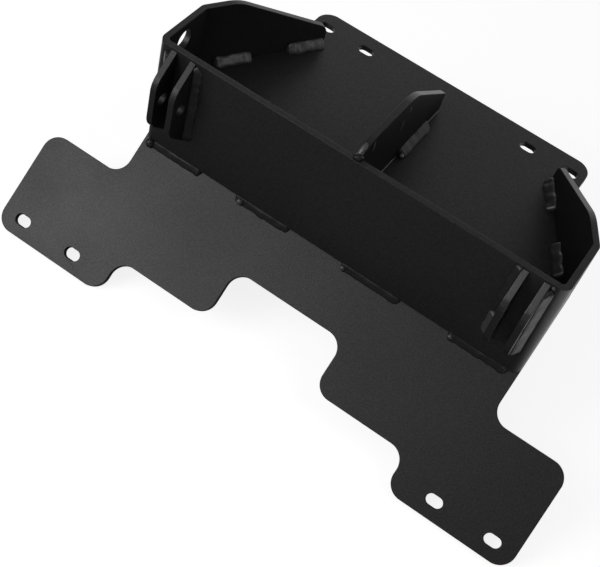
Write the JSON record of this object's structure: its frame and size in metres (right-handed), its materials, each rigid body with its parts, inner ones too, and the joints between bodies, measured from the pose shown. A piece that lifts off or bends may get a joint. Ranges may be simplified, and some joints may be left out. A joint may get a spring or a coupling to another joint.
{
  "type": "plow mounting plate",
  "caption": "Bent steel mounting plate with slotted tongues, an upright folded channel, paired pin ears and a centre gusset, for holding a push frame.",
  "frame": {"origin": "on the underside of the rear plate, midway between the rear slots", "axes": "+X to the right across the plate, +Y towards the plate's rear edge, +Z square to the rear plate, from its mounting face towards the channel"},
  "size_m": [0.56, 0.3296, 0.2266],
  "materials": {
    "coated_plate": "satin black powder coat, finely textured",
    "coated_weld": "satin black powder coat over rippled weld beads"
  },
  "bodies": {
    "root": {"base_plate": "coated_plate", "push_channel": "coated_plate", "left_outer_ear": "coated_plate", "left_inner_ear": "coated_plate", "right_inner_ear": "coated_plate", "right_outer_ear": "coated_plate", "centre_gusset": "coated_plate", "foot_welds": "coated_weld", "wing_welds": "coated_weld", "ear_welds": "coated_weld", "gusset_welds": "coated_weld"}
  },
  "joints": []
}
